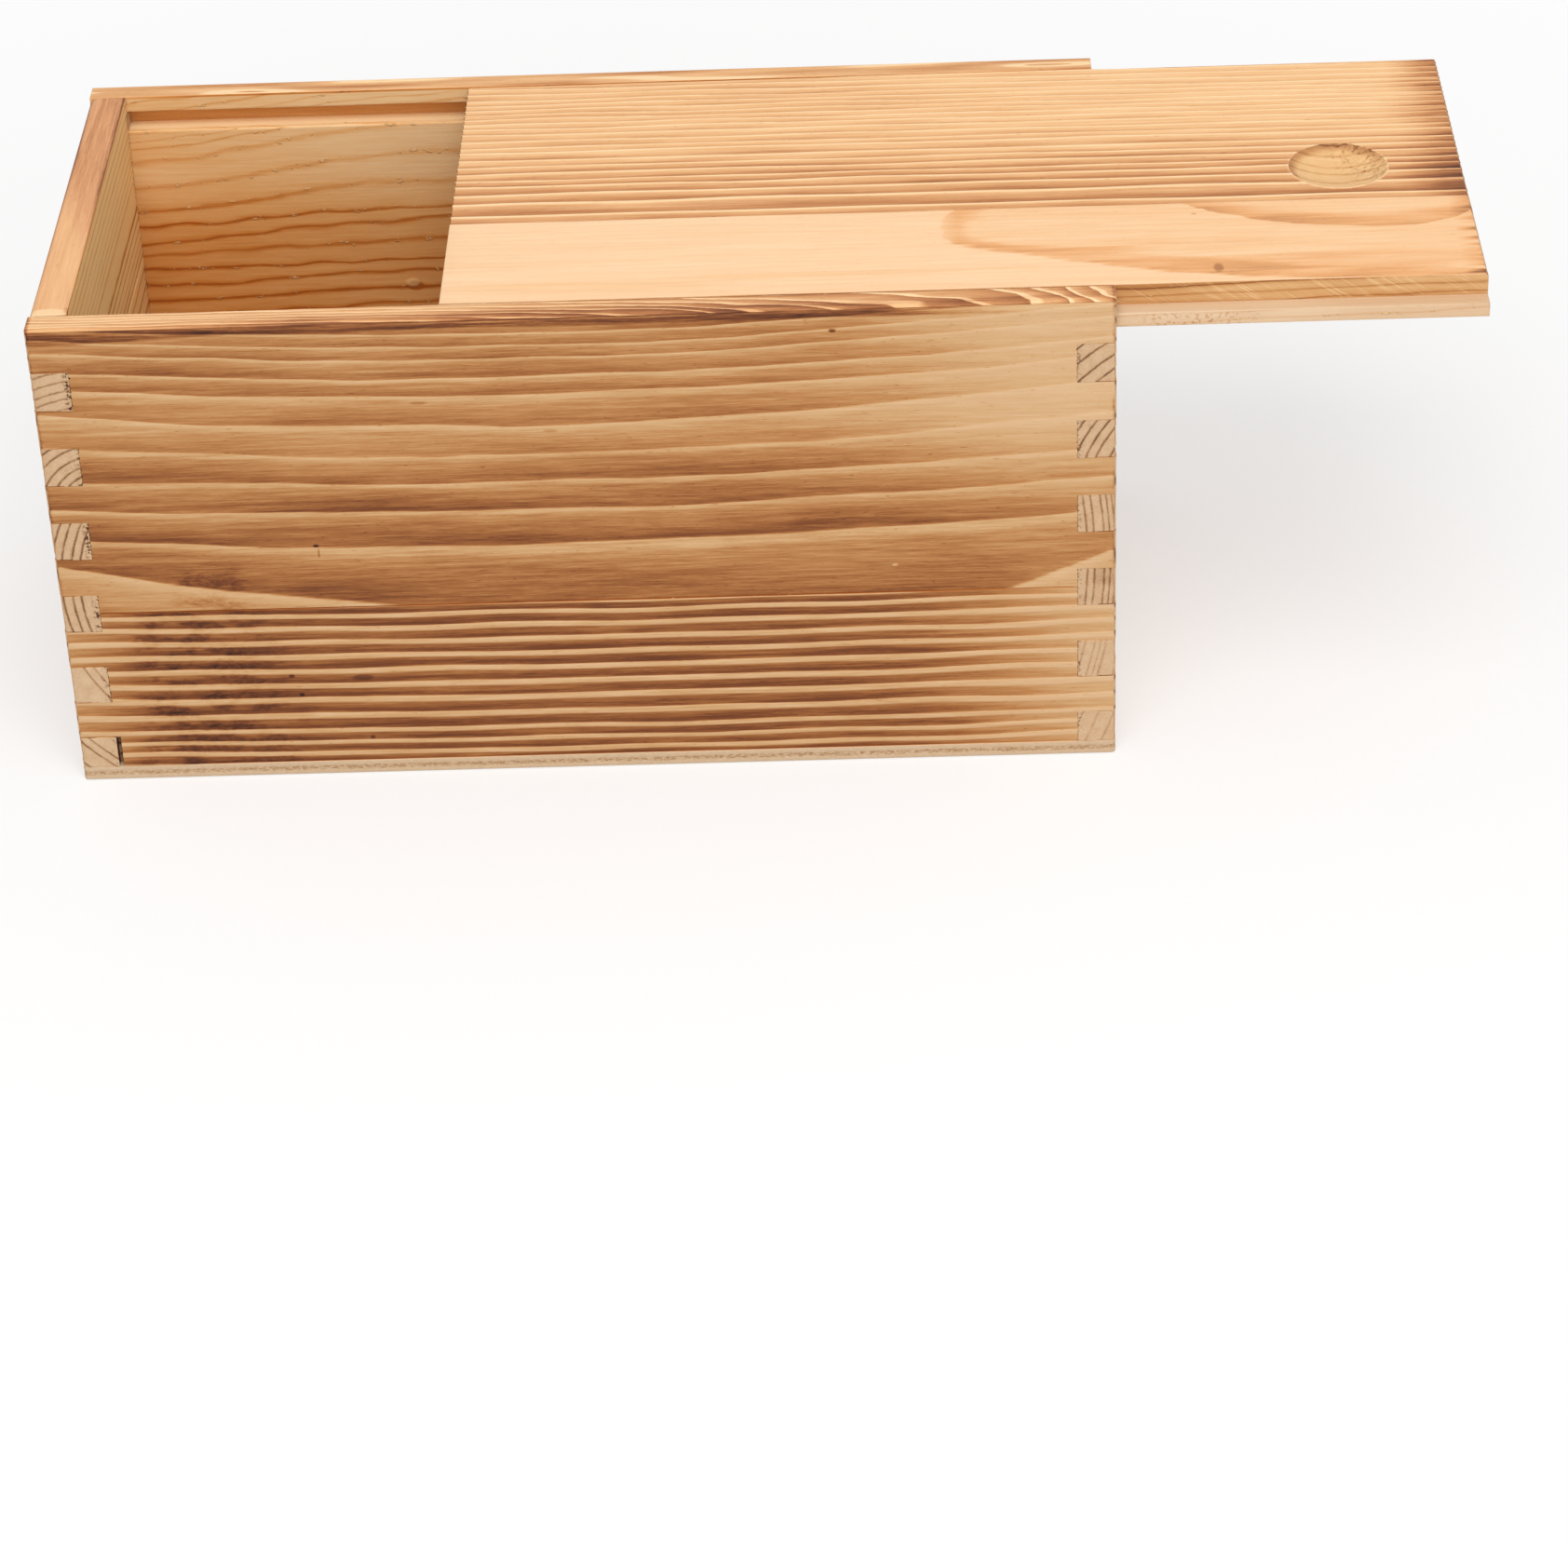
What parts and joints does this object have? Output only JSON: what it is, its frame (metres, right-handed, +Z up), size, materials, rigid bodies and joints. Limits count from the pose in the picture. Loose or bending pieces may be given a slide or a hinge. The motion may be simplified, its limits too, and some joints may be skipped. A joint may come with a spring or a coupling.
{
  "type": "sliding lid wooden box",
  "caption": "Oblong finger-jointed pine box on a plywood bottom, with a rebated lid that slides in grooves out over the lower end board and has a round finger scoop.",
  "frame": {"origin": "middle of the box's underside, with the lid left out", "axes": "+X along the box towards the open end, where the lid slides out; +Y from the front side to the back side; +Z up"},
  "size_m": [0.3353, 0.13, 0.123],
  "materials": {
    "scorched_pine": "torched and wire-brushed pine outside, bare planed pine inside, matt",
    "birch_plywood": "bare sanded plywood, matt",
    "brushed_pine": "lightly torched and brushed pine, matt"
  },
  "bodies": {
    "box": {"front_upper_stave": "scorched_pine", "front_lower_stave": "scorched_pine", "back_upper_stave": "scorched_pine", "back_lower_stave": "scorched_pine", "closed_end_upper_stave": "scorched_pine", "closed_end_lower_stave": "scorched_pine", "open_end_upper_stave": "scorched_pine", "open_end_lower_stave": "scorched_pine", "bottom_panel": "birch_plywood"},
    "lid": {"lid_back_stave": "brushed_pine", "lid_front_stave": "brushed_pine"}
  },
  "joints": [
    {"name": "lid_slide", "type": "slide", "parent": "box", "child": "lid", "axis": [1, 0, 0], "range_m": [-0.0853, 0.156]}
  ]
}
